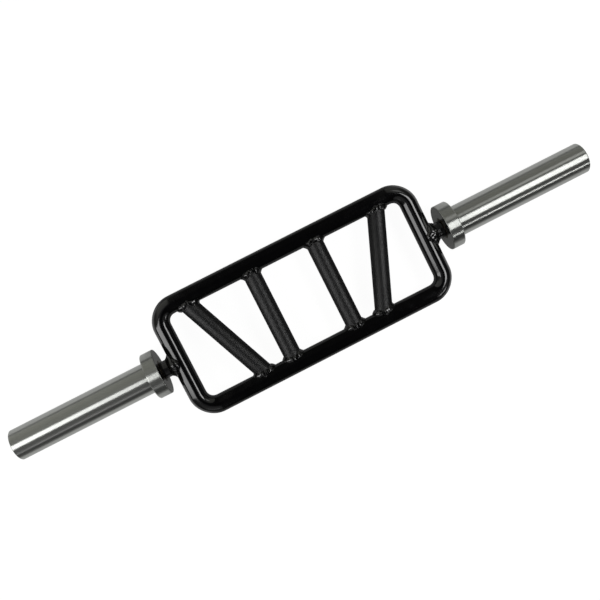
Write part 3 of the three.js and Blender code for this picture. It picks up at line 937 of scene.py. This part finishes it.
class BARBELL_OT_cap_rings(bpy.types.Operator):
    """Makes the retaining rings of the end plates"""

    bl_idname = "barbell.cap_rings"
    bl_label = "Retaining Rings"

    band: length_property("Band", "Width of the ring's band", 3.2)
    painted_loop_shadow: bpy.props.FloatProperty(
        name="Opening", description="Angle of the gap in the ring", default=0.62, subtype="ANGLE")
    lug_radius: length_property("Lug radius", "Round end of a lug", 2.1)
    lug_hole: length_property("Lug hole", "Radius of the hole for the pliers", 0.8)

    def execute(self, context):
        low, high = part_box("right_end_cap_ring")
        radius = high.y
        inner = radius - self.band
        lug_place = inner - self.lug_hole
        for side in SIDES:
            bm = bmesh.new()
            bm.faces.new(add_corners(bm, ring_section(low.x, high.x, inner, radius)))
            start = Matrix.Rotation(self.painted_loop_shadow / 2, 4, "X")
            bmesh.ops.transform(bm, matrix=start, verts=bm.verts)
            bmesh.ops.spin(
                bm, geom=bm.faces[:] + bm.edges[:] + bm.verts[:], cent=(0, 0, 0),
                axis=(1, 0, 0), angle=math.tau - self.painted_loop_shadow, steps=TURNED_STEPS)
            for way in (1, -1):
                self.add_lug(bm, low.x, high.x, lug_place, way)
            bmesh.ops.recalc_face_normals(bm, faces=bm.faces)
            place_piece(bm, side, "retaining_ring", SLEEVE_BODY, ["ring_steel"], "end_cap_ring")
        return {"FINISHED"}

    def add_lug(self, bm, start, end, place, way):
        """A round lug with a hole through it, at one side of the opening."""
        swing = way * (self.painted_loop_shadow / 2 + self.lug_radius / place)
        known = set(bm.verts)
        corners = add_corners(bm, ring_section(start, end, self.lug_hole, self.lug_radius))
        edges = [bm.edges.new(pair) for pair in zip(corners, corners[1:] + corners[:1])]
        lug_steps = 28
        bmesh.ops.spin(
            bm, geom=corners + edges, cent=(0, 0, 0), axis=(1, 0, 0), angle=math.tau,
            steps=lug_steps, use_merge=True)
        lug = [vert for vert in bm.verts if vert not in known]
        placement = Matrix.Rotation(swing, 4, "X") @ Matrix.Translation((0, 0, place))
        bmesh.ops.transform(bm, matrix=placement, verts=lug)


class BARBELL_OT_inner_fittings(bpy.types.Operator):
    """Gives the frame's own washers and journal rings their finish"""

    bl_idname = "barbell.inner_fittings"
    bl_label = "Washers and Journal Rings"

    def execute(self, context):
        finishes = {"thrust_washer": "washer_steel", "journal_ring": "ring_steel"}
        for side in SIDES:
            for node, slot in finishes.items():
                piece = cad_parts[f"{side}_{node}"]
                piece.data.materials.clear()
                piece.data.materials.append(finish(slot))
        return {"FINISHED"}


def soften_ends(lamp, share):
    """Lets a lamp's brightness fall off towards both ends of its depth, as a softbox's does."""
    tree = cleared_tree(lamp)
    middle = 0.5
    spot = add_node(tree, "ShaderNodeNewGeometry").outputs["Parametric"]
    along = add_node(tree, "ShaderNodeSeparateXYZ", {"Vector": spot}).outputs["Y"]
    off_middle = add_node(tree, "ShaderNodeMath", {0: along, 1: middle}, operation="SUBTRACT")
    distance = add_node(
        tree, "ShaderNodeMath", {0: off_middle.outputs["Value"]}, operation="ABSOLUTE")
    glow = add_node(
        tree, "ShaderNodeMapRange",
        {"Value": distance.outputs["Value"], "From Min": middle - share, "From Max": middle,
         "To Min": 1.0, "To Max": 0.0}, interpolation_type="SMOOTHSTEP")
    emission = add_node(tree, "ShaderNodeEmission", {"Strength": glow.outputs["Result"]})
    add_node(tree, "ShaderNodeOutputLight", {"Surface": emission.outputs["Emission"]})


def add_softbox(name, corner, far_corner, depth, radiance, soft_share):
    """A rectangular lamp that spans two corners and has its back up. Its depth runs along Y."""
    start, end = Vector(corner) * MM, Vector(far_corner) * MM
    span = end - start
    across = span.normalized()
    along = Vector((0, 1, 0))
    back = across.cross(along)
    if back.z < 0:
        back = -back
        along = -along
    lamp = bpy.data.lights.new(name, "AREA")
    lamp.shape = "RECTANGLE"
    lamp.size = span.length
    lamp.size_y = depth * MM
    lamp.energy = radiance * math.pi * lamp.size * lamp.size_y
    soften_ends(lamp, soft_share)
    holder = add_object(name, lamp)
    turn = Matrix((across, along, back)).transposed().to_4x4()
    holder.matrix_world = Matrix.Translation((start + end) / 2) @ turn
    holder.visible_camera = False


def direct_rays(tree):
    """How much of a ray comes straight from the camera or through glass, and the ray itself."""
    ray = add_node(tree, "ShaderNodeLightPath")
    direct = add_node(
        tree, "ShaderNodeMath",
        {0: ray.outputs["Is Camera Ray"], 1: ray.outputs["Is Transmission Ray"]},
        operation="MAXIMUM")
    return direct.outputs["Value"], ray


# What the room looks like from the bar, by the angle in degrees from straight up towards +Y, the
# upper side of the picture: dim walls, lighter on that side and darker straight up.
ROOM_BANDS = (
    (-95, "#494949"), (-75, "#474747"), (-60, "#757576"), (-42, "#6C6C6C"), (-30, "#6A6A69"),
    (-12, "#4A4A4C"), (12, "#4C4C4E"), (24, "#8F8F8B"), (42, "#94948F"), (60, "#9A9A94"),
    (92, "#A3A39E"),
)
# Where on the way to the right and to the left horizon the room begins to turn lighter, where it
# has done so, and its strength from there. Between the two sides it is nearly dark.
ROOM_SIDES = ((0.21, 0.27, 0.95), (-0.13, -0.17, 1.45))
ROOM_MIDDLE_STRENGTH = 0.05
# Where on the way to the horizon the room turns dark again, and to which share.
ROOM_HORIZON = (0.62, 0.8)
ROOM_HORIZON_SHARE = 0.3


def build_room():
    """The world: white to the camera, and a dim studio room to the light that falls on the bar
    and in the metal. Over the bar's middle, where the camera stands, the room is darkest."""
    world = bpy.data.worlds.new("studio_room")
    bpy.context.scene.world = world
    tree = cleared_tree(world)
    direction = add_node(tree, "ShaderNodeTexCoord").outputs["Generated"]
    axes = add_node(tree, "ShaderNodeSeparateXYZ", {"Vector": direction})
    angle = add_node(
        tree, "ShaderNodeMath", {0: axes.outputs["Y"], 1: axes.outputs["Z"]}, operation="ARCTAN2")
    around = add_node(
        tree, "ShaderNodeMapRange",
        {"Value": angle.outputs["Value"], "From Min": -math.pi, "From Max": math.pi})
    bands = add_node(tree, "ShaderNodeValToRGB", {"Fac": around.outputs["Result"]})
    stops = bands.color_ramp.elements
    straight_up = 0.5
    while len(stops) < len(ROOM_BANDS):
        stops.new(straight_up)
    for stop, (degrees, colour) in zip(stops, ROOM_BANDS):
        stop.position = straight_up + degrees / 360
        stop.color = linear(colour) + [1]
    sides = [
        add_node(
            tree, "ShaderNodeMapRange",
            {"Value": axes.outputs["X"], "From Min": start, "From Max": end, "To Min": 0.0,
             "To Max": strength}, interpolation_type="SMOOTHSTEP").outputs["Result"]
        for start, end, strength in ROOM_SIDES
    ]
    both = add_node(tree, "ShaderNodeMath", {0: sides[0], 1: sides[1]}, operation="ADD")
    lowness = add_node(tree, "ShaderNodeMath", {0: axes.outputs["X"]}, operation="ABSOLUTE")
    near, far = ROOM_HORIZON
    darkening = add_node(
        tree, "ShaderNodeMapRange",
        {"Value": lowness.outputs["Value"], "From Min": near, "From Max": far, "To Min": 1.0,
         "To Max": ROOM_HORIZON_SHARE}, interpolation_type="SMOOTHSTEP")
    strength = add_node(
        tree, "ShaderNodeMath",
        {0: both.outputs["Value"], 1: darkening.outputs["Result"], 2: ROOM_MIDDLE_STRENGTH},
        operation="MULTIPLY_ADD")
    dim_room = add_node(
        tree, "ShaderNodeBackground",
        {"Color": bands.outputs["Color"], "Strength": strength.outputs["Value"]})
    white = add_node(tree, "ShaderNodeBackground", {"Color": WHITE, "Strength": 1.0})
    mixed = add_node(
        tree, "ShaderNodeMixShader",
        {0: direct_rays(tree)[0], 1: dim_room.outputs["Background"],
         2: white.outputs["Background"]})
    add_node(tree, "ShaderNodeOutputWorld", {"Surface": mixed.outputs["Shader"]})


FLOOR_RADIUS = 3.0
# How bright the table is to the camera beside what the lamps add, and what share they add.
FLOOR_GLOW = 0.955
FLOOR_LIT_SHARE = 0.18
# How bright it glows in the metal, and how this painted light fades in |Y| beside the bar.
FLOOR_GLOW_IN_METAL = 0.5
FLOOR_PAINTED_LIGHT_REACH = (220 * MM, 340 * MM)
FLOOR_PAINTED_FALLOFF_SHARE = 0.2
# In |X| from the bar's middle: a painted shadow under the loop, where its glow in the metal is
# darker.
FLOOR_LOOP_SHADOW_EDGE = (246 * MM, 276 * MM)
FLOOR_PAINTED_LOOP_SHADOW_SHARE = 0.27


def build_floor(stage):
    """A pale matt table. To the camera it shows as the photograph's white ground, with only the
    bar's faint shadow. In the metal it glows dimmer, most of all in a painted shadow under the
    loop, and far beside the bar, where its painted light fades."""
    material = bpy.data.materials.new("matt_white_table")
    tree = cleared_tree(material)
    matt = add_node(tree, "ShaderNodeBsdfDiffuse", {"Color": rgba(stage.floor)})
    glow = add_node(tree, "ShaderNodeEmission", {"Color": WHITE, "Strength": FLOOR_GLOW})
    lit = add_node(tree, "ShaderNodeBsdfDiffuse", {"Color": rgba(stage.floor, FLOOR_LIT_SHARE)})
    ground = add_node(tree, "ShaderNodeAddShader", {0: glow.outputs[0], 1: lit.outputs[0]})
    place = add_node(tree, "ShaderNodeTexCoord").outputs["Object"]
    axes = add_node(tree, "ShaderNodeSeparateXYZ", {"Vector": place})
    # Painted light: in the metal the table's glow fades away beside the bar.
    beside = add_node(tree, "ShaderNodeMath", {0: axes.outputs["Y"]}, operation="ABSOLUTE")
    near, far = FLOOR_PAINTED_LIGHT_REACH
    painted_light_falloff = add_node(
        tree, "ShaderNodeMapRange",
        {"Value": beside.outputs["Value"], "From Min": near, "From Max": far,
         "To Min": FLOOR_GLOW_IN_METAL, "To Max": FLOOR_GLOW_IN_METAL * FLOOR_PAINTED_FALLOFF_SHARE},
        interpolation_type="SMOOTHSTEP")
    # Painted shadow: in the metal the table's glow is darker under the loop.
    beyond = add_node(tree, "ShaderNodeMath", {0: axes.outputs["X"]}, operation="ABSOLUTE")
    near, far = FLOOR_LOOP_SHADOW_EDGE
    painted_loop_shadow = add_node(
        tree, "ShaderNodeMapRange",
        {"Value": beyond.outputs["Value"], "From Min": near, "From Max": far,
         "To Min": FLOOR_PAINTED_LOOP_SHADOW_SHARE, "To Max": 1.0}, interpolation_type="SMOOTHSTEP")
    glow_with_painted_shade = add_node(
        tree, "ShaderNodeMath", {0: painted_light_falloff.outputs["Result"], 1: painted_loop_shadow.outputs["Result"]},
        operation="MULTIPLY")
    dim_glow = add_node(
        tree, "ShaderNodeEmission",
        {"Color": WHITE, "Strength": glow_with_painted_shade.outputs["Value"]})
    mirrored = add_node(tree, "ShaderNodeAddShader", {0: dim_glow.outputs[0], 1: lit.outputs[0]})
    direct, ray = direct_rays(tree)
    in_metal = add_node(
        tree, "ShaderNodeMixShader",
        {0: ray.outputs["Is Glossy Ray"], 1: matt.outputs[0], 2: mirrored.outputs[0]})
    mixed = add_node(
        tree, "ShaderNodeMixShader",
        {0: direct, 1: in_metal.outputs["Shader"], 2: ground.outputs[0]})
    add_node(tree, "ShaderNodeOutputMaterial", {"Surface": mixed.outputs["Shader"]})

    bm = bmesh.new()
    height = -turned_radius("right_collar")
    bmesh.ops.create_circle(
        bm, cap_ends=True, segments=TUBE_SIDES, radius=FLOOR_RADIUS,
        matrix=Matrix.Translation((0, 0, height)))
    mesh = mesh_of(bm, "table_top")
    mesh.materials.append(material)
    add_object("table_top", mesh)


def softboxes(stage):
    """Each lamp's two far corners and its depth in millimetres, its radiance, and the share of
    its depth over which either end fades. The first two light the bar, and the others are there
    for the bands that they give the steel."""
    return {
        "right_softbox": ((575, -125, 1200), (1090, -125, 1200), 830, stage.right_radiance, 0.15),
        "left_softbox": ((-600, -10, 1055), (-1420, -10, 367), 520, stage.left_radiance, 0.2),
        "strip_light": ((690, -1430, 900), (1390, -1430, 900), 360, 6.0, 0.15),
        "left_strip_light": ((-1390, -1430, 900), (-590, -1430, 900), 220, 1.1, 0.15),
        "dim_panel": ((900, 1020, 1500), (1700, 1020, 1500), 800, 1.0, 0.2),
    }


class BARBELL_OT_stage(bpy.types.Operator):
    """Makes the table, the lamps, the room and the camera"""

    bl_idname = "barbell.stage"
    bl_label = "Studio"

    def execute(self, context):
        scene = context.scene
        stage = scene.barbell_stage
        scene.view_settings.view_transform = "Standard"
        build_room()
        build_floor(stage)
        for name, lamp in softboxes(stage).items():
            add_softbox(name, *lamp)
        self.add_camera(scene, stage)
        return {"FINISHED"}

    def add_camera(self, scene, stage):
        data = bpy.data.cameras.new("photo_camera")
        data.lens = stage.focal_length
        data.sensor_width = SENSOR_WIDTH
        camera = add_object("photo_camera", data)
        place, target = Vector(stage.camera_place), Vector(stage.camera_aim)
        forward = (target - place).normalized()
        level = (Vector((1, 0, 0)) - forward * forward.x).normalized()
        right = Matrix.Rotation(stage.bar_slant, 3, forward) @ level
        up = right.cross(forward)
        turn = Matrix((right, up, -forward)).transposed().to_4x4()
        camera.matrix_world = Matrix.Translation(place) @ turn
        scene.camera = camera


OPERATORS = (
    BARBELL_OT_loop, BARBELL_OT_grips, BARBELL_OT_welds, BARBELL_OT_journals,
    BARBELL_OT_collars, BARBELL_OT_sleeves, BARBELL_OT_bushings, BARBELL_OT_end_caps,
    BARBELL_OT_cap_rings, BARBELL_OT_inner_fittings, BARBELL_OT_stage,
)
PROPERTY_GROUPS = {
    "barbell_sizes": BARBELL_PG_sizes,
    "barbell_finishes": BARBELL_PG_finishes,
    "barbell_stage": BARBELL_PG_stage,
}


class BARBELL_PT_panel(bpy.types.Panel):
    """Lists the barbell's pieces, sizes and finishes"""

    bl_idname = "BARBELL_PT_panel"
    bl_label = "Multi-Grip Barbell"
    bl_space_type = "VIEW_3D"
    bl_region_type = "UI"
    bl_category = "Barbell"

    def draw(self, context):
        for operator in OPERATORS:
            self.layout.operator(operator.bl_idname)
        for name, group in PROPERTY_GROUPS.items():
            box = self.layout.box()
            for setting in group.__annotations__:
                box.prop(getattr(context.scene, name), setting)


CLASSES = (*PROPERTY_GROUPS.values(), *OPERATORS, BARBELL_PT_panel)


def register():
    for cls in CLASSES:
        bpy.utils.register_class(cls)
    for name, group in PROPERTY_GROUPS.items():
        setattr(bpy.types.Scene, name, bpy.props.PointerProperty(type=group))


def unregister():
    for name in PROPERTY_GROUPS:
        delattr(bpy.types.Scene, name)
    for cls in reversed(CLASSES):
        bpy.utils.unregister_class(cls)


def main():
    register()
    for operator in OPERATORS:
        group, name = operator.bl_idname.split(".")
        getattr(getattr(bpy.ops, group), name)()


if __name__ == "__main__":
    main()
